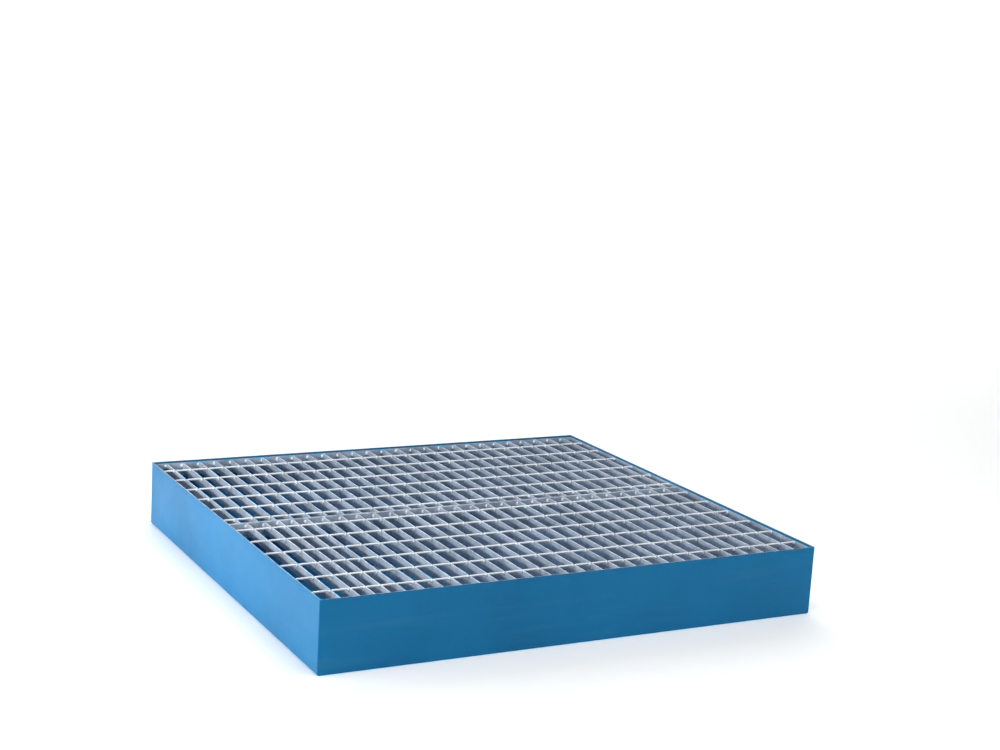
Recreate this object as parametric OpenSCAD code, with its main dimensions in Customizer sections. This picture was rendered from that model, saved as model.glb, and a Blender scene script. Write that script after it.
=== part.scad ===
// Spill containment pallet: a low welded steel sump that stands flat on the ground, with two lift-out
// galvanised gratings on top. Liquid that leaks from drums on the gratings is caught in the sump.
// Origin at the middle of the underside, +X along the front edge, +Y to the back, +Z up. Millimetres.

/* [Sump] */
// Overall width, along the front edge
pallet_w = 1400; // [900:10:1900]
// Overall depth, from front to back
pallet_d = 1290; // [900:10:1700]
// Overall height
pallet_h = 183; // [130:1:300]
// Thickness of the sheet steel
sheet_t = 3; // [2:0.5:6]
// Inside radius of the pan's two folds
fold_r = 3; // [2:0.5:8]

/* [Ledges] */
// Leg length of the two ledge angles
ledge_leg = 30; // [20:1:50]
// Thickness of the ledge angles
ledge_t = 3; // [2:0.5:5]
// Root radius inside the ledge angles
ledge_root_r = 3; // [1:0.5:5]
// Gap to the pan at each end of the ledges and of the centre beam, filled by the weld
weld_gap = 1; // [0.5:0.5:3]

/* [Centre beam] */
// Width of the flange under the joint between the gratings
flange_w = 60; // [40:1:100]
// Thickness of the flange
flange_t = 4; // [3:0.5:8]
// Thickness of the web
web_t = 4; // [3:0.5:8]
// Number of drain notches at the foot of the web
notch_count = 5; // [1:1:9]
// Width of a drain notch
notch_w = 60; // [30:1:80]
// Height of a drain notch
notch_h = 25; // [15:1:40]
// Radius of a drain notch's upper corners
notch_r = 12; // [3:1:14]

/* [Gratings] */
// Depth of the gratings' top below the sump's rim
rim_step = 5; // [0:1:20]
// Clearance from the gratings to the sump's walls
wall_gap = 3; // [1:0.5:8]
// Gap between the two gratings
joint_gap = 3; // [1:0.5:8]
// Height of the load bars, the edge bars and the bands
bar_h = 30; // [20:1:40]
// Thickness of the load bars and the edge bars
bar_t = 3; // [2:0.5:6]
// Thickness of the bands across the bars' ends
band_t = 3; // [2:0.5:6]
// Spacing of the load bars
bar_pitch = 48.8; // [25:0.1:70]
// Full cells at the left end of the front grating, before its narrow cells
front_left_cells = 2; // [0:1:6]
// Narrow cells that close the left end of the front grating
narrow_cells = 3; // [1:1:5]
// Side of the square cross rods
rod_w = 5; // [4:0.5:8]
// From the front edge of the front grating to its first cross rod
front_rod_margin = 70; // [15:1:100]
// From the front edge of the rear grating to its first cross rod
rear_rod_margin = 44; // [15:1:100]
// The two margins of a grating added: before its first cross rod and after its last
rod_margins = 121; // [115:1:200]

/* [Hidden] */
rod_count = 6;
arc_fn = 64;
cut_over = 1;

inner_w = pallet_w - 2 * sheet_t;
inner_d = pallet_d - 2 * sheet_t;
fold_outer_r = fold_r + sheet_t;

deck_z = pallet_h - rim_step;
bearing_z = deck_z - bar_h;
beam_l = inner_w - 2 * weld_gap;
web_h = bearing_z - flange_t - sheet_t;

grating_w = inner_w - 2 * wall_gap;
grating_d = (inner_d - 2 * wall_gap - joint_gap) / 2;
front_grating_y = -inner_d / 2 + wall_gap;
rear_grating_y = joint_gap / 2;
edge_bar_x = (grating_w - bar_t) / 2;
rod_pitch = (grating_d - rod_margins) / (rod_count - 1);

// Front grating: full cells from both ends meet at the narrow cells, which share what is left
front_cells_fit = floor((2 * edge_bar_x - front_left_cells * bar_pitch) / bar_pitch);
front_right_cells = front_cells_fit - (narrow_cells - 1);
narrow_from_x = -edge_bar_x + front_left_cells * bar_pitch;
narrow_to_x = edge_bar_x - front_right_cells * bar_pitch;
front_bar_xs = concat(
    [for (k = [1 : 1 : front_left_cells]) -edge_bar_x + k * bar_pitch],
    [for (k = [1 : 1 : narrow_cells - 1])
        narrow_from_x + k * (narrow_to_x - narrow_from_x) / narrow_cells],
    [for (k = [1 : 1 : front_right_cells]) edge_bar_x - k * bar_pitch]
);

// Rear grating: full cells in the middle, and an equal narrower cell at each end
rear_cells = floor(2 * edge_bar_x / bar_pitch) - 1;
rear_bar_xs = [for (k = [0 : 1 : rear_cells]) (k - rear_cells / 2) * bar_pitch];

front_rod_ys = [for (k = [0 : rod_count - 1]) front_grating_y + front_rod_margin + k * rod_pitch];
rear_rod_ys = [for (k = [0 : rod_count - 1]) rear_grating_y + rear_rod_margin + k * rod_pitch];

paint_blue = "#1b7aac";
beam_blue = "#17699a";
zinc_grey = "#c3ccd2";
rod_grey = "#d9dfe1";

// What a rounded corner leaves over: a square at the origin's corner, less the circle inside it
module corner_waste(r) {
    difference() {
        translate([-cut_over, -cut_over]) square(r + cut_over);
        translate([r, r]) circle(r = r, $fn = arc_fn);
    }
}

// A rectangle that stands on the X axis, with its two lower corners rounded
module tray_outline(w, h, r) {
    difference() {
        translate([-w / 2, 0]) square([w, h]);
        for (flip = [0, 1])
            mirror([flip, 0]) translate([-w / 2, 0]) corner_waste(r);
    }
}

// An angle section with its heel at the origin: one leg runs along +X, the other hangs down
module angle_outline() {
    difference() {
        translate([0, -ledge_leg]) square(ledge_leg);
        difference() {
            translate([ledge_t, -ledge_leg - cut_over])
                square([ledge_leg, ledge_leg + cut_over - ledge_t]);
            translate([ledge_t, -ledge_t]) mirror([0, 1]) corner_waste(ledge_root_r);
        }
    }
}

// Extrudes an outline drawn in (Y, Z) along X, half to each side
module along_x(length) {
    rotate([90, 0, 90]) linear_extrude(height = length, center = true) children();
}

// Floor and side walls, folded up from one sheet
module sump_pan() {
    color(paint_blue)
        rotate([90, 0, 0])
            linear_extrude(height = inner_d, center = true)
                difference() {
                    tray_outline(pallet_w, pallet_h, fold_outer_r);
                    translate([0, sheet_t]) tray_outline(inner_w, pallet_h, fold_r);
                }
}

// A flat sheet that closes one end of the pan, with its lower corners cut to the pan's folds
module end_wall(outer_y) {
    color(paint_blue)
        translate([0, outer_y, 0])
            rotate([90, 0, 0])
                linear_extrude(height = sheet_t)
                    tray_outline(pallet_w, pallet_h, fold_outer_r);
}

module front_wall() {
    end_wall(-pallet_d / 2 + sheet_t);
}

module rear_wall() {
    end_wall(pallet_d / 2);
}

// Angle along the front wall that carries the outer ends of the front grating's bars
module front_ledge() {
    color(beam_blue)
        translate([0, -inner_d / 2, bearing_z])
            along_x(beam_l) angle_outline();
}

module rear_ledge() {
    mirror([0, 1, 0]) front_ledge();
}

// Upright plate on the floor under the joint, notched at its foot so that both bays drain together
module centre_web() {
    color(beam_blue)
        translate([0, web_t / 2, sheet_t])
            rotate([90, 0, 0])
                linear_extrude(height = web_t)
                    difference() {
                        tray_outline(beam_l, web_h, fold_r + weld_gap);
                        for (k = [1 : notch_count])
                            translate([-beam_l / 2 + (k - 0.5) * beam_l / notch_count, notch_h])
                                mirror([0, 1]) tray_outline(notch_w, notch_h + cut_over, notch_r);
                    }
}

// Flat bar on top of the web that carries the inner ends of both gratings
module centre_flange() {
    color(beam_blue)
        translate([-beam_l / 2, -flange_w / 2, bearing_z - flange_t])
            cube([beam_l, flange_w, flange_t]);
}

// A flat bar on edge, notched at its top for the cross rods, between a grating's two bands
module notched_bar(x, grating_y, rod_ys) {
    translate([x, 0, 0])
        along_x(bar_t)
            difference() {
                translate([grating_y + band_t, bearing_z]) square([grating_d - 2 * band_t, bar_h]);
                for (rod_y = rod_ys)
                    translate([rod_y - rod_w / 2, deck_z - rod_w]) square([rod_w, rod_w + cut_over]);
            }
}

module front_load_bars() {
    color(zinc_grey)
        for (x = front_bar_xs) notched_bar(x, front_grating_y, front_rod_ys);
}

module rear_load_bars() {
    color(zinc_grey)
        for (x = rear_bar_xs) notched_bar(x, rear_grating_y, rear_rod_ys);
}

// The bar that closes a grating's side: side is -1 on the left and 1 on the right
module front_edge_bar(side) {
    color(zinc_grey) notched_bar(side * edge_bar_x, front_grating_y, front_rod_ys);
}

module rear_edge_bar(side) {
    color(zinc_grey) notched_bar(side * edge_bar_x, rear_grating_y, rear_rod_ys);
}

// A flat bar on edge across the ends of a grating's load bars, from its front face at y
module band(y) {
    color(zinc_grey)
        translate([-grating_w / 2, y, bearing_z])
            cube([grating_w, band_t, bar_h]);
}

// A square rod across a grating, flush with the top of its bars
module cross_rod(y) {
    color(rod_grey)
        translate([-grating_w / 2, y - rod_w / 2, deck_z - rod_w])
            cube([grating_w, rod_w, rod_w]);
}

sump_pan();
front_wall();
rear_wall();
front_ledge();
rear_ledge();
centre_web();
centre_flange();

front_load_bars();
front_edge_bar(-1);  // front_left_edge_bar
front_edge_bar(1);  // front_right_edge_bar
band(front_grating_y);  // front_outer_band
band(front_grating_y + grating_d - band_t);  // front_joint_band
for (k = [1 : rod_count])
    cross_rod(front_rod_ys[k - 1]);

rear_load_bars();
rear_edge_bar(-1);  // rear_left_edge_bar
rear_edge_bar(1);  // rear_right_edge_bar
band(rear_grating_y);  // rear_joint_band
band(rear_grating_y + grating_d - band_t);  // rear_outer_band
for (k = [1 : rod_count])
    cross_rod(rear_rod_ys[k - 1]);
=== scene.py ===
"""The looks of a spill containment pallet: a powder-coated sheet steel sump with two lift-out
galvanised gratings. Lengths are metres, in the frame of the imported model."""

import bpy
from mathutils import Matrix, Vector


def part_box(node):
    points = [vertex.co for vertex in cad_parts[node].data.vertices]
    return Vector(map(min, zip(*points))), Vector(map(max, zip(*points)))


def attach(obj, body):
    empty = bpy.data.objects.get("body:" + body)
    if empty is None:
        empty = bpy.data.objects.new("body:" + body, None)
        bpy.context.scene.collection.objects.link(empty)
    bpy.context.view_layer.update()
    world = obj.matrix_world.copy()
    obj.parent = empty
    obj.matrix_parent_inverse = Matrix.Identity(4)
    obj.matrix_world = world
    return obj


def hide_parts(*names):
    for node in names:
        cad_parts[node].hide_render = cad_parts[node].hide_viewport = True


bl_info = {
    "name": "Spill Containment Pallet",
    "version": (1, 0, 0),
    "blender": (4, 5, 0),
    "location": "View3D > Sidebar > Pallet",
    "description": "Builds a welded steel sump with two lift-out bar gratings",
    "category": "Add Mesh",
}

import math

import bpy
import numpy as np
from bpy.props import FloatProperty, FloatVectorProperty, PointerProperty
from bpy.types import Operator, Panel, PropertyGroup
from mathutils import Matrix

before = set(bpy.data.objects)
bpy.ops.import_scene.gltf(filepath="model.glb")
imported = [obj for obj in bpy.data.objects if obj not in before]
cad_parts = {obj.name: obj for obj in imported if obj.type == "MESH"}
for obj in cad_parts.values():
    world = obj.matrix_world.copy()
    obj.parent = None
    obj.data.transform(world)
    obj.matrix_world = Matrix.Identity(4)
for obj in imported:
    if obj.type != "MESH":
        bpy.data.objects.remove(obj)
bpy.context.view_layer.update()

MM = 0.001
# edges that turn further than this are shaded sharp
SHARP_ANGLE = math.radians(38)

GRATINGS = ("front", "rear")
RODS = range(1, 7)
SIDES = (-1, 1)

# slot names of the finishes
SUMP_PAINT = "sump_paint"
INNER_PAINT = "inner_paint"
BAR_ZINC = "galvanised_bar"
ROD_ZINC = "galvanised_rod"

# first random seed of each kind of piece
SUMP_WELD_SEED = 41
BAR_SEED = 41
BAR_SEEDS_PER_GRATING = 10
CROSSING_SEED = 141
BAND_WELD_SEED = 241

# spacing of the stations along each surface
WALL_STEP = 25 * MM
WALL_STEP_UP = 18 * MM
FLOOR_STEP = 60 * MM
BAR_STEP = 16 * MM
BAND_STEP = 30 * MM

# lengths of the two waves that oil canning leaves along a wall
LONG_WAVE = 570 * MM
SHORT_WAVE = 310 * MM

# how far a fillet weld's middle stands in from its corner, and how far the corner seams stop below
# the rim, both in weld radii
WELD_INSET = 0.35
WELD_STOP = 3
# short welds along the centre beam's foot and under the ledges
BEAM_WELDS = {"margin": 20 * MM, "length": 45 * MM, "spacing": 139 * MM}
LEDGE_WELDS = {"margin": 30 * MM, "length": 40 * MM, "spacing": 140 * MM}

# how wide a rod's dip is to each side of a bar, and by how many radians each rod is turned from
# the last one
DIP_WIDTH = 4 * MM
ROD_TURN = 1.7

# half sizes of the steel squeezed up at a crossing, and the depth of its middle under the bars' top
COLLAR = np.array([2.9, 3.7, 2.2]) * MM
COLLAR_DEPTH = 2.7 * MM
# half sizes of the zinc drops, the place of their tops from the crossing, how deep these at least
# lie under the bars' top, and the share of large drops on the edge bars and on the others
LARGE_DROP = np.array([4.0, 3.7, 4.6]) * MM
SMALL_DROP = np.array([3.3, 3.3, 3.6]) * MM
DROP_PLACE = np.array([-2.4, -1.0, -0.6]) * MM
DROP_DEPTH = 0.2 * MM
LARGE_ON_EDGE_BARS = 0.9
LARGE_ON_OTHERS = 0.5
# half sizes of the welds between bars and bands, their place from the bar's top corner, and how far
# they stand in from the band
BAND_WELD = np.array([5.0, 3.4, 7.0]) * MM
BAND_WELD_PLACE = np.array([-2.4, 0, -8.6]) * MM
BAND_WELD_INWARD = 1.4 * MM
# how far drops and band welds wander from their places
WANDER = 0.4 * MM

# the studio: front end of the floor, foot and radius of the bend, top of the backdrop, and how far
# both reach to each side
FLOOR_FRONT = -9.0
BEND_FOOT = 7.0
BEND_RADIUS = 2.5
BACKDROP_TOP = 9.0
FLOOR_REACH = 20.0
# width in millimetres of the camera's sensor
SENSOR_WIDTH = 36.0

# a Mix node's colour sockets go by number, because they share their names with its other sockets
MIX_FACTOR, MIX_FIRST, MIX_SECOND, MIXED = 0, 6, 7, 2


def linear(hex_colour):
    """Turns an sRGB hex colour to linear red, green, blue and alpha, by the standard's formula: a
    straight line near black, and a power of 2.4 above it."""
    srgb = np.array([int(hex_colour[i:i + 2], 16) for i in (1, 3, 5)]) / 255
    rgb = np.where(srgb <= 0.04045, srgb / 12.92, ((srgb + 0.055) / 1.055) ** 2.4)
    return (*rgb.tolist(), 1.0)


# ---------------------------------------------------------------- settings

class SumpSettings(PropertyGroup):
    """Sizes and colours of the painted sump."""

    edge_radius: FloatProperty(
        name="Sheet edge radius", description="Rounding of the sheet's cut edges under the paint",
        default=0.9 * MM, min=0.1 * MM, max=1.4 * MM, unit="LENGTH")
    corner_radius: FloatProperty(
        name="Corner radius", description="Rounding of the dressed welds at the upright corners",
        default=2.2 * MM, min=0.5 * MM, max=2.9 * MM, unit="LENGTH")
    fold_radius: FloatProperty(
        name="Fold radius", description="Outside radius of the folds along the floor's sides",
        default=6.0 * MM, min=3.5 * MM, max=12.0 * MM, unit="LENGTH")
    oil_canning: FloatProperty(
        name="Oil canning", description="How far welding has pulled the thin sheet inwards",
        default=0.9 * MM, min=0.0, max=2.0 * MM, unit="LENGTH")
    weld_radius: FloatProperty(
        name="Weld radius", description="Radius of the fillet welds",
        default=3.0 * MM, min=1.0 * MM, max=6.0 * MM, unit="LENGTH")
    weld_ripple: FloatProperty(
        name="Weld ripple", description="Spacing of the ripples along a weld",
        default=5.0 * MM, min=2.0 * MM, max=12.0 * MM, unit="LENGTH")
    paint: FloatVectorProperty(
        name="Paint", description="Colour of the coating outside",
        default=linear("#0C79AF"), size=4, min=0.0, max=1.0, subtype="COLOR")
    paint_deep: FloatVectorProperty(
        name="Paint, thin", description="Colour of the coating where it is thinner",
        default=linear("#086EA0"), size=4, min=0.0, max=1.0, subtype="COLOR")
    # pale colour of the rubbed rim, also used for the painted sheen streaks on the walls
    worn_and_sheen: FloatVectorProperty(
        name="Worn edge", description="Colour of the rubbed coating along the edges",
        default=linear("#6FA3BF"), size=4, min=0.0, max=1.0, subtype="COLOR")


class GratingSettings(PropertyGroup):
    """Sizes and colours of the two gratings."""

    edge_radius: FloatProperty(
        name="Bar edge radius", description="Rounding of the flat bars' edges under the zinc",
        default=0.7 * MM, min=0.1 * MM, max=1.4 * MM, unit="LENGTH")
    bow: FloatProperty(
        name="Bow", description="How far a bar wanders sideways along its length",
        default=0.5 * MM, min=0.0, max=1.5 * MM, unit="LENGTH")
    rod_side: FloatProperty(
        name="Rod side", description="Side of the square rod before it is twisted",
        default=5.0 * MM, min=3.0 * MM, max=8.0 * MM, unit="LENGTH")
    rod_twist: FloatProperty(
        name="Rod twist", description="Length over which a rod makes one full turn",
        default=36.0 * MM, min=15.0 * MM, max=100.0 * MM, unit="LENGTH")
    rod_dip: FloatProperty(
        name="Rod dip", description="How deep a rod is pressed into each bar that it crosses",
        default=1.4 * MM, min=0.0, max=3.0 * MM, unit="LENGTH")
    zinc: FloatVectorProperty(
        name="Zinc", description="Colour of the galvanised bars",
        default=linear("#BAC5D3"), size=4, min=0.0, max=1.0, subtype="COLOR")
    zinc_dull: FloatVectorProperty(
        name="Zinc, dull", description="Colour of the galvanised bars where the zinc has dulled",
        default=linear("#88929E"), size=4, min=0.0, max=1.0, subtype="COLOR")
    # near white, much lighter than the bars' zinc: a painted highlight on the rods, drops and band
    # welds, in both of these colours
    zinc_with_highlight: FloatVectorProperty(
        name="Zinc, bright", description="Colour of the rods and of the zinc at the crossings",
        default=linear("#F9FBFA"), size=4, min=0.0, max=1.0, subtype="COLOR")
    zinc_soft_with_highlight: FloatVectorProperty(
        name="Zinc, soft", description="Colour of the rods where the zinc has begun to dull",
        default=linear("#E6EAED"), size=4, min=0.0, max=1.0, subtype="COLOR")


class StageSettings(PropertyGroup):
    """Camera, lights and floor."""

    camera_place: FloatVectorProperty(
        name="Camera", description="Where the camera stands",
        default=(-2.1948, -4.2104, 1.4951), size=3, unit="LENGTH", subtype="TRANSLATION")
    camera_yaw: FloatProperty(
        name="Yaw", description="How far the camera turns from the Y axis to the X axis",
        default=math.radians(28.35), unit="ROTATION")
    camera_pitch: FloatProperty(
        name="Pitch", description="How far the camera looks down",
        default=math.radians(11.29), unit="ROTATION")
    camera_roll: FloatProperty(
        name="Roll", description="How far the camera leans to its left",
        default=math.radians(3.38), unit="ROTATION")
    camera_lens: FloatProperty(
        name="Lens", description="Focal length in millimetres on a 36 mm wide sensor", default=64.0)
    floor_colour: FloatVectorProperty(
        name="Floor", description="Colour of the floor and the backdrop",
        default=linear("#FBFCFC"), size=4, min=0.0, max=1.0, subtype="COLOR")
    key_colour: FloatVectorProperty(
        name="Key colour", description="Colour of the low soft box on the left",
        default=(0.92, 0.98, 1.0), size=3, min=0.0, max=1.0, subtype="COLOR")
    key_power: FloatProperty(
        name="Key light", description="Power of the low soft box on the left",
        default=36.0, unit="POWER")
    top_power: FloatProperty(
        name="Top light", description="Power of the soft box overhead",
        default=86.0, unit="POWER")
    floor_power: FloatProperty(
        name="Floor light", description="Power of the soft box over the floor behind",
        default=400.0, unit="POWER")
    backdrop_power: FloatProperty(
        name="Backdrop light", description="Power of the soft box that whitens the backdrop",
        default=1700.0, unit="POWER")
    sky_strength: FloatProperty(
        name="Surroundings", description="Brightness of the surroundings", default=0.2)


# ---------------------------------------------------------------- surfaces

def loft(rings):
    """Skins rows of closed loops. rings has the shape (skins, stations, points in a loop, 3).

    Quads join each loop to the next one along its skin, and a fan of triangles round the mean of the
    loop closes each end. Returns the points, quads and triangles.
    """
    skins, stations, around = rings.shape[:3]
    ends = np.stack([rings[:, 0].mean(axis=1), rings[:, -1].mean(axis=1)], axis=1)
    points = np.concatenate([rings.reshape(-1, 3), ends.reshape(-1, 3)])
    index = np.arange(skins * stations * around).reshape(skins, stations, around)
    turned = np.roll(index, -1, axis=2)
    quads = np.stack([index[:, :-1], turned[:, :-1], turned[:, 1:], index[:, 1:]], axis=-1)
    middle = skins * stations * around + np.arange(2 * skins).reshape(skins, 2, 1)
    first = np.broadcast_to(middle[:, :1, 0], (skins, around))
    last = np.broadcast_to(middle[:, 1:, 0], (skins, around))
    fans = np.stack([
        np.stack([first, turned[:, 0], index[:, 0]], axis=-1),
        np.stack([last, index[:, -1], turned[:, -1]], axis=-1),
    ])
    return points, quads.reshape(-1, 4), fans.reshape(-1, 3)


def signed_volume(points, triangles):
    """Sum over the triangles of a . (b x c) / 6, which is above zero where they face outwards."""
    a, b, c = (points[triangles[:, i]] for i in range(3))
    return np.einsum("ij,ij->i", a, np.cross(b, c)).sum() / 6


def add_mesh(name, rings):
    """Makes an object of the lofted rings, with every face turned outwards."""
    points, quads, fans = loft(rings)
    halves = np.concatenate([quads[:, [0, 1, 2]], quads[:, [0, 2, 3]], fans])
    if signed_volume(points, halves) < 0:
        quads, fans = quads[:, ::-1], fans[:, ::-1]
    mesh = bpy.data.meshes.new(name)
    mesh.from_pydata(points.tolist(), [], quads.tolist() + fans.tolist())
    mesh.shade_smooth()
    mesh.set_sharp_from_angle(angle=SHARP_ANGLE)
    made = bpy.data.objects.new(name, mesh)
    bpy.context.scene.collection.objects.link(made)
    return made


def finish_piece(piece, material, body, slot, *replaced):
    """Gives a piece its material and its body, and hides the CAD nodes that it stands for."""
    piece.data.materials.append(material)
    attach(piece, body)
    if replaced:
        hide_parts(*replaced)


def spaced(start, end, step):
    """Evenly spaced values from start to end, no further apart than step."""
    return np.linspace(start, end, max(2, math.ceil(abs(end - start) / step) + 1))


def rounded_rectangle(width, height, radius, steps=3):
    """Loop of a rectangle about the origin: at each corner, a quarter circle round a centre that
    stands one radius in from both sides."""
    quarter = np.arange(4)[:, None] * np.pi / 2
    angle = quarter + np.linspace(0, np.pi / 2, steps + 1)
    corner_x = np.sign(np.cos(quarter + np.pi / 4)) * (width / 2 - radius)
    corner_y = np.sign(np.sin(quarter + np.pi / 4)) * (height / 2 - radius)
    loop = np.stack([corner_x + radius * np.cos(angle), corner_y + radius * np.sin(angle)], axis=-1)
    return loop.reshape(-1, 2)


def sheet_section(path, thickness, edge_radius, steps=3):
    """Loop round a bent sheet: the path's points moved half the thickness along its normals, to one
    side and back along the other. At each end, quarter circles of the edge radius round both edges."""
    along = np.gradient(path, axis=0)
    along /= np.linalg.norm(along, axis=1, keepdims=True)
    across = np.stack([-along[:, 1], along[:, 0]], axis=1)
    half = thickness / 2
    turn = np.linspace(0, np.pi / 2, steps + 1)[:, None]
    flat = half - edge_radius

    def end_edge(point, out, side):
        centre = point - out * edge_radius + side * flat
        return centre + edge_radius * (np.cos(turn) * side + np.sin(turn) * out)

    left, right = path + across * half, path - across * half
    far_out, near_out = along[-1], -along[0]
    return np.concatenate([
        left[1:-1],
        end_edge(path[-1], far_out, across[-1]),
        end_edge(path[-1], far_out, -across[-1])[::-1],
        right[1:-1][::-1],
        end_edge(path[0], near_out, -across[0]),
        end_edge(path[0], near_out, across[0])[::-1],
    ])


def dip(distance, radius):
    """How far a quarter circle of the radius stands in from its square corner's side, at a distance
    from the corner: the radius less the root of its square less the square of what is left of it."""
    left = np.clip(radius - distance, 0, radius)
    return radius - np.sqrt(radius ** 2 - left ** 2)


def near_ends(start, end, step, radius, steps=5):
    """Evenly spaced stations, with more of them along a rounding of the radius at both ends."""
    rounding = radius * (1 - np.cos(np.linspace(0, np.pi / 2, steps + 1)))
    middle = spaced(start + radius, end - radius, step)
    return np.concatenate([start + rounding[:-1], middle, (end - rounding[:-1])[::-1]])


def pulled_in(along, up, length, height):
    """How far a wall is pulled in, from 0 to 1: a long wave along it, and a short one that leans with
    height, faded to 0 at its edges by the sine of the share of its length and of its height."""
    long_wave = 0.3 * np.sin(along * 2 * np.pi / LONG_WAVE + 0.8)
    short_wave = 0.2 * np.sin(along * 2 * np.pi / SHORT_WAVE + up * 9)
    fade_along = np.sin(np.pi * np.clip(along / length, 0, 1))
    fade_up = np.sin(np.pi * np.clip(up / height, 0, 1))
    return (0.5 + long_wave + short_wave) * fade_along * fade_up


def ellipsoids(centres, radii, around=10, stations=7):
    """Rings of one ellipsoid for each centre: loops round X at angles p from pole to pole, where a
    point is the centre plus its radii times (cos p, sin p cos a, sin p sin a). The loops stop just
    short of the poles, which the loft's fans close."""
    short = 0.12
    pole = np.linspace(short, np.pi - short, stations)[:, None]
    angle = np.linspace(0, 2 * np.pi, around, endpoint=False)
    ball = np.stack([
        np.broadcast_to(np.cos(pole), (stations, around)),
        np.sin(pole) * np.cos(angle),
        np.sin(pole) * np.sin(angle),
    ], axis=-1)
    return centres[:, None, None, :] + radii[:, None, None, :] * ball


def weld_rings(starts, ends, radius, ripple, seed):
    """Rings of straight welds of one length: circles along each line. Their radius is 0.9 of the
    weld's, plus 0.12 times the absolute sine of the way along for each ripple, and it wanders by
    0.04."""
    lines = ends - starts
    length = np.linalg.norm(lines[0])
    way = spaced(0, length, ripple / 3)
    random = np.random.default_rng(seed)
    swell = 0.9 + 0.12 * np.abs(np.sin(np.pi * way / ripple)) + 0.04 * random.standard_normal(way.size)
    direction = lines / np.linalg.norm(lines, axis=1, keepdims=True)
    helper = np.where(np.abs(direction[:, 2:]) > 0.5, [[1.0, 0, 0]], [[0, 0, 1.0]])
    side = np.cross(direction, helper)
    other = np.cross(direction, side)
    angle = np.linspace(0, 2 * np.pi, 8, endpoint=False)
    circle = np.cos(angle)[:, None] * side[:, None, :] + np.sin(angle)[:, None] * other[:, None, :]
    middle = starts[:, None, :] + way[None, :, None] * direction[:, None, :]
    return middle[:, :, None, :] + radius * swell[None, :, None, None] * circle[:, None, :, :]


def short_welds(low_x, high_x, y, z, margin, length, spacing):
    """Ends of short welds along X, in front of and behind the sump's middle: the first and the last
    stand a margin in from the steel's ends, and they are no further apart than the spacing."""
    starts = spaced(low_x + margin, high_x - margin - length, spacing)
    return [((x, side * y, z), (x + length, side * y, z)) for x in starts for side in SIDES]


def bar_centres(node):
    """X of every bar in a CAD node of bars that run along Y: half-way between its two side faces."""
    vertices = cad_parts[node].data.vertices
    flat = np.empty(3 * len(vertices))
    vertices.foreach_get("co", flat)
    sides = np.unique(np.round(flat[0::3], 5))
    return sides.reshape(-1, 2).mean(axis=1)


def sheet_thickness():
    """Thickness of the sump's sheet."""
    low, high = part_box("front_wall")
    return high.y - low.y


def grating_bars(grating):
    """X of every load bar and edge bar of a grating, from left to right."""
    nodes = (f"{grating}_left_edge_bar", f"{grating}_load_bars", f"{grating}_right_edge_bar")
    return np.concatenate([bar_centres(node) for node in nodes])


def bar_thickness(grating):
    """Thickness of a grating's bars."""
    low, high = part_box(f"{grating}_left_edge_bar")
    return high.x - low.x


def rod_centre(grating, number):
    """Y of the middle of a cross rod."""
    low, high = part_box(f"{grating}_cross_rod_{number}")
    return (low.y + high.y) / 2


# ---------------------------------------------------------------- materials

def add_node(tree, kind, values=None, **settings):
    """Adds a node with its settings. values gives its inputs, by name or number, a value each or a
    socket to link from."""
    made = tree.nodes.new(kind)
    for key, value in settings.items():
        setattr(made, key, value)
    for key, value in (values or {}).items():
        if isinstance(value, bpy.types.NodeSocket):
            tree.links.new(value, made.inputs[key])
        else:
            made.inputs[key].default_value = value
    return made


def new_material(name):
    """An empty material, its Principled shader and its Object coordinates."""
    material = bpy.data.materials.new(name)
    material.use_nodes = True
    tree = material.node_tree
    shader = tree.nodes["Principled BSDF"]
    where = add_node(tree, "ShaderNodeTexCoord").outputs["Object"]
    return material, tree, shader, where


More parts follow.
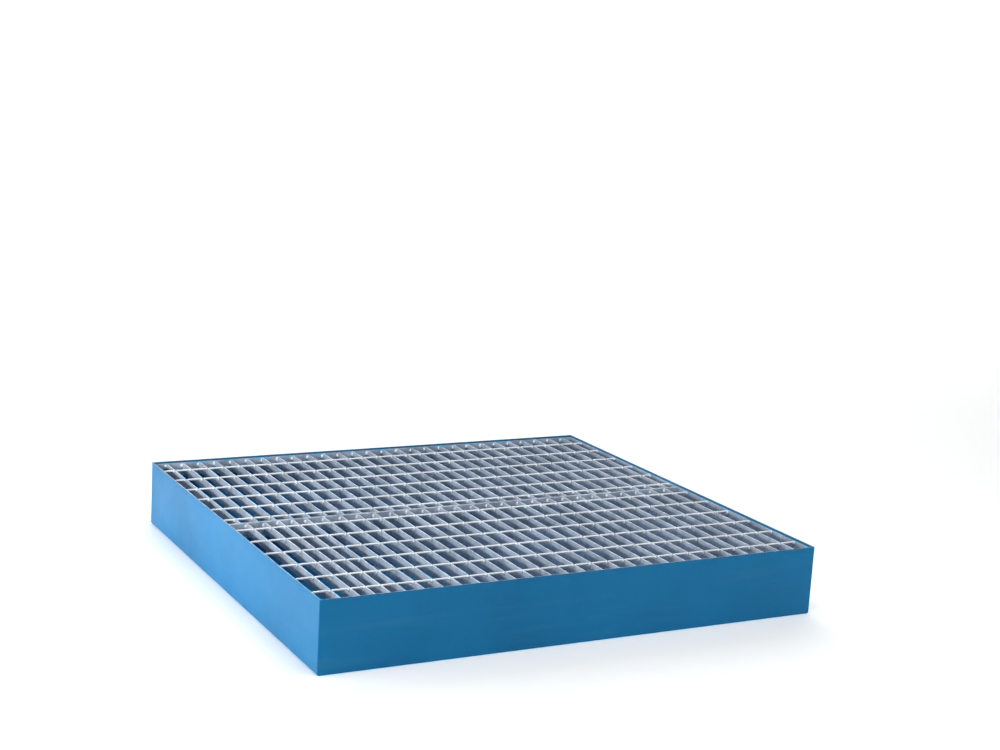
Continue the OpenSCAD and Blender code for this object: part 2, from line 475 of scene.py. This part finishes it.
def powder_coat(name, colours, rim_z=None):
    """Polyester powder coat baked on sheet steel: an even satin gloss with a fine orange peel, a
    little lighter and darker in large clouds, with a painted sheen of faint pale streaks that slant
    down the walls, and rubbed pale along the rim where gratings scrape."""
    colour, thin, worn_and_sheen = colours
    material, tree, shader, where = new_material(name)
    # clouds 300 mm across: how thick the powder lies
    cloud = add_node(tree, "ShaderNodeTexNoise", {
        "Vector": where, "Scale": 1 / (300 * MM), "Detail": 3.0})
    share = add_node(tree, "ShaderNodeMapRange", {
        "Value": cloud.outputs["Fac"], "From Min": 0.3, "From Max": 0.7})
    base = add_node(tree, "ShaderNodeMix", {
        MIX_FACTOR: share.outputs["Result"], MIX_FIRST: thin, MIX_SECOND: colour}, data_type="RGBA")
    # painted sheen: faint pale streaks that slant down along the walls by 0.25 radians, 400 mm long
    # and 25 mm wide
    slanted = add_node(tree, "ShaderNodeMapping", {
        "Vector": where, "Rotation": (0.25, 0.25, 0),
        "Scale": (1 / (400 * MM), 1 / (400 * MM), 1 / (25 * MM))})
    streak = add_node(tree, "ShaderNodeTexNoise", {
        "Vector": slanted.outputs["Vector"], "Scale": 1.0, "Detail": 2.0})
    painted_sheen = add_node(tree, "ShaderNodeMapRange", {
        "Value": streak.outputs["Fac"], "From Min": 0.56, "From Max": 0.8, "To Max": 0.07})
    mask = painted_sheen.outputs["Result"]
    if rim_z:
        height = add_node(tree, "ShaderNodeSeparateXYZ", {"Vector": where}).outputs["Z"]
        # the rubbed line reaches up to 1.5 mm down from the rim, and is broken up every 15 mm or so
        broken = add_node(tree, "ShaderNodeTexNoise", {
            "Vector": where, "Scale": 1 / (15 * MM), "Detail": 5.0, "Roughness": 0.7})
        lowered = add_node(tree, "ShaderNodeMath", {
            0: broken.outputs["Fac"], 1: -3.2 * MM, 2: height}, operation="MULTIPLY_ADD")
        edge = add_node(tree, "ShaderNodeMapRange", {
            "Value": lowered.outputs[0], "From Min": rim_z - 2.1 * MM, "From Max": rim_z - 1.2 * MM,
            "To Max": 0.16})
        rubbed = add_node(tree, "ShaderNodeMath", {
            0: mask, 1: edge.outputs["Result"]}, operation="MAXIMUM")
        mask = rubbed.outputs[0]
    # the painted sheen streaks and the rubbed rim both turn the coat towards the pale colour
    coat = add_node(tree, "ShaderNodeMix", {
        MIX_FACTOR: mask, MIX_FIRST: base.outputs[MIXED], MIX_SECOND: worn_and_sheen}, data_type="RGBA")
    # clouds 60 mm across: handling marks that dull the gloss
    patch = add_node(tree, "ShaderNodeTexNoise", {
        "Vector": where, "Scale": 1 / (60 * MM), "Detail": 4.0})
    gloss = add_node(tree, "ShaderNodeMapRange", {
        "Value": patch.outputs["Fac"], "To Min": 0.28, "To Max": 0.42})
    # orange peel: its long waves, 6 mm from crest to crest
    peel = add_node(tree, "ShaderNodeTexNoise", {
        "Vector": where, "Scale": 1 / (6 * MM), "Detail": 0.0})
    bump = add_node(tree, "ShaderNodeBump", {
        "Height": peel.outputs["Fac"], "Strength": 0.15, "Distance": 0.1 * MM})
    tree.links.new(coat.outputs[MIXED], shader.inputs["Base Color"])
    tree.links.new(gloss.outputs["Result"], shader.inputs["Roughness"])
    tree.links.new(bump.outputs["Normal"], shader.inputs["Normal"])
    shader.inputs["IOR"].default_value = 1.5
    # slightly chalked, so the gloss is weaker than a new coat's
    shader.inputs["Specular IOR Level"].default_value = 0.15
    return material


def hot_dip_zinc(name, colours, roughness, metallic):
    """Zinc that steel was dipped in: frozen in spangles, each with its own grey and gloss, dulled in
    patches as it ages, and slightly lumpy where it ran."""
    bright, dull = colours
    material, tree, shader, where = new_material(name)
    # spangles 9 mm across
    spangle = add_node(tree, "ShaderNodeTexVoronoi", {
        "Vector": where, "Scale": 1 / (9 * MM), "Randomness": 1.0})
    grain = add_node(tree, "ShaderNodeSeparateColor", {"Color": spangle.outputs["Color"]})
    # dull patches 70 mm across
    patch = add_node(tree, "ShaderNodeTexNoise", {
        "Vector": where, "Scale": 1 / (70 * MM), "Detail": 5.0, "Roughness": 0.6})
    weathered = add_node(tree, "ShaderNodeMapRange", {
        "Value": patch.outputs["Fac"], "From Min": 0.38, "From Max": 0.66})
    # a spangle's own grey counts for 0.45 of what a dull patch does
    blend = add_node(tree, "ShaderNodeMath", {
        0: grain.outputs["Red"], 1: 0.45, 2: weathered.outputs["Result"]}, operation="MULTIPLY_ADD")
    share = add_node(tree, "ShaderNodeMapRange", {"Value": blend.outputs[0], "From Max": 1 + 0.45})
    colour = add_node(tree, "ShaderNodeMix", {
        MIX_FACTOR: share.outputs["Result"], MIX_FIRST: bright, MIX_SECOND: dull}, data_type="RGBA")
    gloss = add_node(tree, "ShaderNodeMapRange", {
        "Value": share.outputs["Result"], "To Min": roughness - 0.08, "To Max": roughness + 0.1})
    # runs and lumps 5 mm across
    lump = add_node(tree, "ShaderNodeTexNoise", {
        "Vector": where, "Scale": 1 / (5 * MM), "Detail": 3.0})
    bump = add_node(tree, "ShaderNodeBump", {
        "Height": lump.outputs["Fac"], "Strength": 0.35, "Distance": 0.4 * MM})
    tree.links.new(colour.outputs[MIXED], shader.inputs["Base Color"])
    tree.links.new(gloss.outputs["Result"], shader.inputs["Roughness"])
    tree.links.new(bump.outputs["Normal"], shader.inputs["Normal"])
    shader.inputs["Metallic"].default_value = metallic
    return material


def studio_floor(name, colour):
    """Matt painted floor and backdrop, pale and plain, slightly more and less matt in clouds."""
    material, tree, shader, where = new_material(name)
    # clouds 800 mm across
    shade = add_node(tree, "ShaderNodeTexNoise", {
        "Vector": where, "Scale": 1 / (800 * MM), "Detail": 2.0})
    gloss = add_node(tree, "ShaderNodeMapRange", {
        "Value": shade.outputs["Fac"], "To Min": 0.75, "To Max": 0.85})
    tree.links.new(gloss.outputs["Result"], shader.inputs["Roughness"])
    shader.inputs["Base Color"].default_value = colour
    return material


def made_once(name, maker, *values, **finish):
    """The material of that name, made the first time it is asked for."""
    return bpy.data.materials.get(name) or maker(name, *values, **finish)


def outer_paint():
    """The coat on the walls and the floor, rubbed along the rim."""
    settings = bpy.context.scene.pallet_sump
    rim_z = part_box("sump_pan")[1].z
    colours = (tuple(settings.paint), tuple(settings.paint_deep), tuple(settings.worn_and_sheen))
    return made_once("Powder_coat_sky_blue", powder_coat, colours, rim_z)


def inner_paint():
    """The coat on the steel inside, which lies thinner and isn't rubbed."""
    settings = bpy.context.scene.pallet_sump
    colours = (tuple(settings.paint_deep), tuple(settings.paint), tuple(settings.worn_and_sheen))
    return made_once("Powder_coat_inner", powder_coat, colours)


def bar_zinc():
    """The zinc on the flat bars: weathered matt, with little of the metal's mirror left."""
    settings = bpy.context.scene.pallet_gratings
    colours = (tuple(settings.zinc), tuple(settings.zinc_dull))
    return made_once("Hot_dip_zinc_bar", hot_dip_zinc, colours, roughness=0.55, metallic=0.15)


def rod_zinc_with_highlight():
    """The zinc on the rods, drops and band welds: thicker and rubbed smoother, and painted near white,
    a painted highlight for the light that falls on their tops.
    """
    settings = bpy.context.scene.pallet_gratings
    colours = (tuple(settings.zinc_with_highlight), tuple(settings.zinc_soft_with_highlight))
    return made_once("Hot_dip_zinc_rod", hot_dip_zinc, colours, roughness=0.45, metallic=0.05)


# ---------------------------------------------------------------- pieces of the sump

class PALLET_OT_sump_pan(Operator):
    """Folds the floor and the two side walls from one sheet"""

    bl_idname = "pallet.sump_pan"
    bl_label = "Sump pan"

    def execute(self, context):
        settings = context.scene.pallet_sump
        low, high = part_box("sump_pan")
        thickness = sheet_thickness()
        half = thickness / 2
        radius = settings.fold_radius - half
        side_x, floor_z = high.x - half, low.z + half
        turn = np.linspace(0, np.pi / 2, 9)
        wall_z = spaced(high.z, floor_z + radius, WALL_STEP_UP)[:-1]
        floor_x = spaced(radius - side_x, side_x - radius, FLOOR_STEP)[1:-1]
        wall = np.stack([np.full(wall_z.size, -side_x), wall_z], axis=1)
        fold = np.stack([
            -side_x + radius * (1 - np.cos(turn)),
            floor_z + radius * (1 - np.sin(turn)),
        ], axis=1)
        floor = np.stack([floor_x, np.full(floor_x.size, floor_z)], axis=1)
        mirrored = np.array([-1, 1])
        path = np.concatenate([wall, fold, floor, (fold * mirrored)[::-1], (wall * mirrored)[::-1]])
        section = sheet_section(path, thickness, settings.edge_radius)
        stations = spaced(low.y, high.y, WALL_STEP)
        rings = np.empty((1, stations.size, section.shape[0], 3))
        up = section[:, 1]
        pull = settings.oil_canning * pulled_in(
            stations[:, None] - low.y, up[None, :], high.y - low.y, high.z)
        on_wall = np.abs(section[:, 0]) > side_x - radius
        rings[0, :, :, 0] = section[:, 0] - np.sign(section[:, 0]) * pull * on_wall
        rings[0, :, :, 1] = stations[:, None]
        rings[0, :, :, 2] = up
        pan = add_mesh("sump_pan_sheet", rings)
        finish_piece(pan, outer_paint(), "sump", SUMP_PAINT, "sump_pan")
        return {"FINISHED"}


class PALLET_OT_end_walls(Operator):
    """Makes the front and rear walls, whose lower corners follow the pan's folds"""

    bl_idname = "pallet.end_walls"
    bl_label = "Front and rear walls"

    def execute(self, context):
        settings = context.scene.pallet_sump
        for name, outward in (("front", -1), ("rear", 1)):
            low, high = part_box(f"{name}_wall")
            thickness = high.y - low.y
            heights = spaced(low.z, high.z, WALL_STEP_UP)
            path = np.stack([np.zeros(heights.size), heights], axis=1)
            section = sheet_section(path, thickness, settings.edge_radius)
            stations = near_ends(low.x, high.x, WALL_STEP, settings.fold_radius, steps=8)
            to_end = np.minimum(stations - low.x, high.x - stations)[:, None]
            lift = dip(to_end, settings.fold_radius)
            inset = dip(to_end, settings.corner_radius)
            # across runs from 0 on the inner face to 1 on the outer face
            across = section[:, 0] / thickness + 0.5
            up = lift + section[:, 1] * (high.z - lift) / high.z
            pull = settings.oil_canning * pulled_in(
                stations[:, None] - low.x, up, high.x - low.x, high.z)
            rings = np.empty((1, stations.size, section.shape[0], 3))
            inner_y = high.y if outward < 0 else low.y
            rings[0, :, :, 0] = stations[:, None]
            rings[0, :, :, 1] = inner_y + outward * (across * (thickness - inset) - pull)
            rings[0, :, :, 2] = up
            wall = add_mesh(f"{name}_wall_sheet", rings)
            finish_piece(wall, outer_paint(), "sump", SUMP_PAINT, f"{name}_wall")
        return {"FINISHED"}


class PALLET_OT_inner_steel(Operator):
    """Paints the ledge angles and the centre beam, whose plain rolled shapes are right already"""

    bl_idname = "pallet.inner_steel"
    bl_label = "Ledges and centre beam"

    def execute(self, context):
        for node in ("front_ledge", "rear_ledge", "centre_web", "centre_flange"):
            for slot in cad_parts[node].material_slots:
                slot.material = inner_paint()
        return {"FINISHED"}


class PALLET_OT_sump_welds(Operator):
    """Runs the fillet welds that seal the sump and hold its ledges and beam"""

    bl_idname = "pallet.sump_welds"
    bl_label = "Sump welds"

    def execute(self, context):
        settings = context.scene.pallet_sump
        radius, ripple = settings.weld_radius, settings.weld_ripple
        inset = WELD_INSET * radius
        _, pan_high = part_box("sump_pan")
        side_x = pan_high.x - sheet_thickness() - inset
        end_y = pan_high.y - inset
        floor_z = sheet_thickness() + inset
        top_z = pan_high.z - WELD_STOP * radius
        web_low, web_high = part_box("centre_web")
        web_y = web_high.y + inset
        toe_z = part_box("front_ledge")[0].z - inset
        seams = {
            "floor_seam_welds": [
                ((-side_x, y * end_y, floor_z), (side_x, y * end_y, floor_z)) for y in SIDES],
            "corner_seam_welds": [
                ((x * side_x, y * end_y, floor_z), (x * side_x, y * end_y, top_z))
                for x in SIDES for y in SIDES],
            "beam_foot_welds": short_welds(web_low.x, web_high.x, web_y, floor_z, **BEAM_WELDS),
            "ledge_toe_welds": short_welds(web_low.x, web_high.x, end_y, toe_z, **LEDGE_WELDS),
        }
        for number, (name, lines) in enumerate(seams.items()):
            ends = np.array(lines)
            rings = weld_rings(ends[:, 0], ends[:, 1], radius, ripple, SUMP_WELD_SEED + number)
            weld = add_mesh(name, rings)
            finish_piece(weld, inner_paint(), "sump", INNER_PAINT)
        return {"FINISHED"}


# ---------------------------------------------------------------- pieces of the gratings

def flat_bars(name, centres, thickness, low, high, settings, seed):
    """Flat bars on edge along Y: a rounded rectangle carried along each bar and moved sideways by
    two slow sines, with random phases of the bar's own, that fade to nothing at its welded ends."""
    section = rounded_rectangle(thickness, high.z - low.z, settings.edge_radius)
    stations = spaced(low.y, high.y, BAR_STEP)
    random = np.random.default_rng(seed)
    phase = random.uniform(0, 2 * np.pi, (2, centres.size, 1))
    way = stations - low.y
    fade = np.sin(np.pi * way / way[-1])
    wave = 0.7 * np.sin(way * 9 + phase[0]) + 0.3 * np.sin(way * 31 + phase[1])
    bow = settings.bow * fade * wave
    rings = np.empty((centres.size, stations.size, section.shape[0], 3))
    rings[..., 0] = centres[:, None, None] + bow[:, :, None] + section[:, 0]
    rings[..., 1] = stations[:, None]
    rings[..., 2] = (low.z + high.z) / 2 + section[:, 1]
    return add_mesh(name, rings)


class PALLET_OT_load_bars(Operator):
    """Sets the load bars and edge bars of both gratings on edge, front to back"""

    bl_idname = "pallet.load_bars"
    bl_label = "Load bars"

    def execute(self, context):
        settings = context.scene.pallet_gratings
        for place, grating in enumerate(GRATINGS):
            thickness = bar_thickness(grating)
            for part, kind in enumerate(("load_bars", "left_edge_bar", "right_edge_bar")):
                node = f"{grating}_{kind}"
                low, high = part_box(node)
                seed = BAR_SEED + BAR_SEEDS_PER_GRATING * place + part
                bars = flat_bars(
                    f"{node}_zinc", bar_centres(node), thickness, low, high, settings, seed)
                finish_piece(bars, bar_zinc(), f"{grating}_grating", BAR_ZINC, node)
        return {"FINISHED"}


class PALLET_OT_bands(Operator):
    """Puts the bands across the ends of the load bars"""

    bl_idname = "pallet.bands"
    bl_label = "Bands"

    def execute(self, context):
        settings = context.scene.pallet_gratings
        for grating in GRATINGS:
            for kind in ("outer_band", "joint_band"):
                node = f"{grating}_{kind}"
                low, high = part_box(node)
                section = rounded_rectangle(high.y - low.y, high.z - low.z, settings.edge_radius)
                stations = spaced(low.x, high.x, BAND_STEP)
                rings = np.empty((1, stations.size, section.shape[0], 3))
                rings[..., 0] = stations[:, None]
                rings[..., 1] = (low.y + high.y) / 2 + section[:, 0]
                rings[..., 2] = (low.z + high.z) / 2 + section[:, 1]
                band = add_mesh(f"{node}_zinc", rings)
                finish_piece(band, bar_zinc(), f"{grating}_grating", BAR_ZINC, node)
        return {"FINISHED"}


class PALLET_OT_cross_rods(Operator):
    """Twists the square cross rods and presses them into the load bars: a rounded square turns as it
    is carried along X, and dips at each bar by a bell curve of the way to it"""

    bl_idname = "pallet.cross_rods"
    bl_label = "Cross rods"

    def execute(self, context):
        settings = context.scene.pallet_gratings
        side = settings.rod_side
        rounding = side / 3
        section = rounded_rectangle(side, side, rounding, steps=2)
        reach = np.linalg.norm(section, axis=1).max()
        for grating in GRATINGS:
            bars = grating_bars(grating)
            for number in RODS:
                node = f"{grating}_cross_rod_{number}"
                low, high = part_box(node)
                stations = spaced(low.x, high.x, settings.rod_twist / 12)
                to_bar = np.abs(stations[:, None] - bars).min(axis=1)
                pressed = np.exp(-(to_bar / DIP_WIDTH) ** 2)[:, None]
                angle = (stations * 2 * np.pi / settings.rod_twist + ROD_TURN * number)[:, None]
                across = section[:, 0] * np.cos(angle) - section[:, 1] * np.sin(angle)
                up = section[:, 0] * np.sin(angle) + section[:, 1] * np.cos(angle)
                middle_z = high.z - reach - settings.rod_dip * pressed
                rings = np.empty((1, stations.size, section.shape[0], 3))
                rings[0, :, :, 0] = stations[:, None]
                rings[0, :, :, 1] = (low.y + high.y) / 2 + across
                rings[0, :, :, 2] = middle_z + up
                rod = add_mesh(f"{node}_twisted", rings)
                finish_piece(rod, rod_zinc_with_highlight(), f"{grating}_grating", ROD_ZINC, node)
        return {"FINISHED"}


class PALLET_OT_crossings(Operator):
    """Adds the steel squeezed up round each rod where it is pressed into a bar, and the zinc that ran
    down beside it: ellipsoids of random size, cut flush with the edge bars' outer faces"""

    bl_idname = "pallet.crossings"
    bl_label = "Crossings"

    def execute(self, context):
        for place, grating in enumerate(GRATINGS):
            bars = grating_bars(grating)
            rods = np.array([rod_centre(grating, number) for number in RODS])
            deck_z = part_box(f"{grating}_load_bars")[1].z
            spots = np.stack(np.meshgrid(bars, rods, [deck_z], indexing="ij"), axis=-1).reshape(-1, 3)
            random = np.random.default_rng(CROSSING_SEED + place)
            count = len(spots)
            half = bar_thickness(grating) / 2
            first_x, last_x = bars[0] - half, bars[-1] + half
            collar_size = COLLAR * random.uniform(0.85, 1.1, (count, 3))
            collars = ellipsoids(spots - [0, 0, COLLAR_DEPTH], collar_size)
            collars[..., 0] = np.clip(collars[..., 0], first_x, last_x)
            piece = add_mesh(f"{grating}_crossing_collars", collars)
            finish_piece(piece, bar_zinc(), f"{grating}_grating", BAR_ZINC)

            on_edge_bars = np.isin(spots[:, :1], [bars[0], bars[-1]])
            share = np.where(on_edge_bars, LARGE_ON_EDGE_BARS, LARGE_ON_OTHERS)
            large = random.uniform(size=(count, 1)) < share
            drop_size = random.uniform(0.8, 1.2, (count, 3)) * np.where(large, LARGE_DROP, SMALL_DROP)
            middle = spots + DROP_PLACE + random.normal(0, WANDER, (count, 3))
            middle[:, 2] = np.minimum(middle[:, 2], deck_z - DROP_DEPTH) - drop_size[:, 2]
            drops = ellipsoids(middle, drop_size)
            drops[..., 0] = np.clip(drops[..., 0], first_x, last_x)
            piece = add_mesh(f"{grating}_zinc_drops", drops)
            finish_piece(piece, rod_zinc_with_highlight(), f"{grating}_grating", ROD_ZINC)
        return {"FINISHED"}


class PALLET_OT_band_welds(Operator):
    """Adds the short upright welds that hold the load bars to the bands, as upright ellipsoids"""

    bl_idname = "pallet.band_welds"
    bl_label = "Band welds"

    def execute(self, context):
        for place, grating in enumerate(GRATINGS):
            bars = bar_centres(f"{grating}_load_bars")
            low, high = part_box(f"{grating}_load_bars")
            random = np.random.default_rng(BAND_WELD_SEED + place)
            corners = np.stack(np.meshgrid(bars, [low.y, high.y], [high.z], indexing="ij"), axis=-1)
            corners = corners.reshape(-1, 3)
            count = len(corners)
            sizes = BAND_WELD * random.uniform(0.75, 1.15, (count, 3))
            inward = np.where(corners[:, 1] > (low.y + high.y) / 2, -1, 1)
            centres = corners + BAND_WELD_PLACE + random.normal(0, WANDER, (count, 3))
            centres[:, 1] += inward * BAND_WELD_INWARD
            piece = add_mesh(f"{grating}_band_welds", ellipsoids(centres, sizes))
            finish_piece(piece, rod_zinc_with_highlight(), f"{grating}_grating", ROD_ZINC)
        return {"FINISHED"}


# ---------------------------------------------------------------- stage

def stood_at(place, right, up, back):
    """Matrix of an object at a place, whose own X, Y and Z point right, up and back."""
    turned = Matrix(np.column_stack([right, up, back]).tolist()).to_4x4()
    turned.translation = tuple(place)
    return turned


def add_softbox(name, place, target, size, power):
    """A rectangular area light at a place, turned to face the target, that the camera doesn't see."""
    light = bpy.data.lights.new(name, "AREA")
    light.shape = "RECTANGLE"
    light.size, light.size_y = size
    light.energy = power
    made = bpy.data.objects.new(name, light)
    bpy.context.scene.collection.objects.link(made)
    away = np.array(place) - np.array(target)
    away = away / np.linalg.norm(away)
    sideways = np.cross([0, 0, 1], away)
    # a light that hangs straight above its target has X sideways
    if not sideways.any():
        sideways = np.array([1.0, 0, 0])
    sideways = sideways / np.linalg.norm(sideways)
    made.matrix_world = stood_at(place, sideways, np.cross(away, sideways), away)
    made.visible_camera = False
    return made


def add_floor(stage):
    """A floor that curves up into a backdrop: a profile in Y and Z, of a flat line, a quarter circle
    and an upright line, drawn out along X."""
    turn = np.linspace(0, np.pi / 2, 24)
    bend = np.stack([
        BEND_FOOT + BEND_RADIUS * np.sin(turn),
        BEND_RADIUS * (1 - np.cos(turn)),
    ], axis=1)
    front, top = (FLOOR_FRONT, 0.0), (BEND_FOOT + BEND_RADIUS, BACKDROP_TOP)
    profile = np.concatenate([[front], bend, [top]])
    count = len(profile)
    points = np.empty((2, count, 3))
    points[:, :, 0] = [[-FLOOR_REACH], [FLOOR_REACH]]
    points[:, :, 1:] = profile
    row = np.arange(count - 1)
    faces = np.stack([row, row + count, row + count + 1, row + 1], axis=1)
    mesh = bpy.data.meshes.new("studio_floor")
    mesh.from_pydata(points.reshape(-1, 3).tolist(), [], faces.tolist())
    mesh.shade_smooth()
    mesh.materials.append(made_once("Matt_studio_floor", studio_floor, tuple(stage.floor_colour)))
    floor = bpy.data.objects.new("studio_floor", mesh)
    bpy.context.scene.collection.objects.link(floor)


def add_lights(stage):
    """A low soft box on the left, one overhead, and two that whiten the floor and the backdrop."""
    key = add_softbox(
        "left_softbox", place=(-2.3, 0.0, 0.78), target=(0, 0.1, 0.15), size=(2.2, 0.16),
        power=stage.key_power)
    key.data.color = stage.key_colour
    add_softbox(
        "top_softbox", place=(0.2, -1.4, 3.3), target=(0, 0, 0), size=(3.0, 2.2),
        power=stage.top_power)
    add_softbox(
        "floor_softbox", place=(7.0, 5.5, 5.0), target=(7.0, 5.5, 0), size=(20.0, 6.0),
        power=stage.floor_power)
    add_softbox(
        "backdrop_softbox", place=(4.5, 4.0, 4.5), target=(5.0, BEND_FOOT + BEND_RADIUS, 2.0),
        size=(16.0, 3.0), power=stage.backdrop_power)


def add_surroundings(stage):
    """Even white light from all round."""
    world = bpy.data.worlds.new("studio_surroundings")
    world.use_nodes = True
    sky = world.node_tree.nodes["Background"]
    sky.inputs["Color"].default_value = (1, 1, 1, 1)
    sky.inputs["Strength"].default_value = stage.sky_strength
    bpy.context.scene.world = world
    bpy.context.scene.view_settings.view_transform = "Standard"


def add_camera(stage):
    """A camera at its place: level and facing along Y, then yawed, pitched down and rolled."""
    yaw, pitch, roll = stage.camera_yaw, stage.camera_pitch, stage.camera_roll
    forward = np.array([
        math.sin(yaw) * math.cos(pitch), math.cos(yaw) * math.cos(pitch), -math.sin(pitch)])
    level = np.array([math.cos(yaw), -math.sin(yaw), 0.0])
    upright = np.cross(level, forward)
    right = math.cos(roll) * level + math.sin(roll) * upright
    up = math.cos(roll) * upright - math.sin(roll) * level
    camera = bpy.data.cameras.new("studio_camera")
    camera.lens = stage.camera_lens
    camera.sensor_width = SENSOR_WIDTH
    made = bpy.data.objects.new("studio_camera", camera)
    bpy.context.scene.collection.objects.link(made)
    made.matrix_world = stood_at(stage.camera_place, right, up, -forward)
    bpy.context.scene.camera = made


class PALLET_OT_stage(Operator):
    """Sets up the floor that curves up into a backdrop, the soft lights and the camera"""

    bl_idname = "pallet.stage"
    bl_label = "Stage"

    def execute(self, context):
        stage = context.scene.pallet_stage
        add_floor(stage)
        add_lights(stage)
        add_surroundings(stage)
        add_camera(stage)
        return {"FINISHED"}


# ---------------------------------------------------------------- add-on

OPERATORS = (
    PALLET_OT_stage,
    PALLET_OT_sump_pan,
    PALLET_OT_end_walls,
    PALLET_OT_inner_steel,
    PALLET_OT_sump_welds,
    PALLET_OT_load_bars,
    PALLET_OT_bands,
    PALLET_OT_cross_rods,
    PALLET_OT_crossings,
    PALLET_OT_band_welds,
)


class PALLET_PT_build(Panel):
    """Lists the settings and the steps that build the pallet"""

    bl_idname = "PALLET_PT_build"
    bl_label = "Spill Containment Pallet"
    bl_space_type = "VIEW_3D"
    bl_region_type = "UI"
    bl_category = "Pallet"

    def draw(self, context):
        scene = context.scene
        for settings in (scene.pallet_sump, scene.pallet_gratings, scene.pallet_stage):
            box = self.layout.box()
            for name in settings.__annotations__:
                box.prop(settings, name)
        for operator in OPERATORS:
            self.layout.operator(operator.bl_idname)


SETTINGS = {
    "pallet_sump": SumpSettings,
    "pallet_gratings": GratingSettings,
    "pallet_stage": StageSettings,
}
CLASSES = (*SETTINGS.values(), *OPERATORS, PALLET_PT_build)


def register():
    """Adds the classes to Blender and the settings to its scenes."""
    for made in CLASSES:
        bpy.utils.register_class(made)
    for name, group in SETTINGS.items():
        setattr(bpy.types.Scene, name, PointerProperty(type=group))


def unregister():
    """Takes the settings and the classes away again."""
    for name in SETTINGS:
        delattr(bpy.types.Scene, name)
    for made in reversed(CLASSES):
        bpy.utils.unregister_class(made)


def main():
    register()
    for operator in OPERATORS:
        group, name = operator.bl_idname.split(".")
        getattr(getattr(bpy.ops, group), name)()


if __name__ == "__main__":
    main()
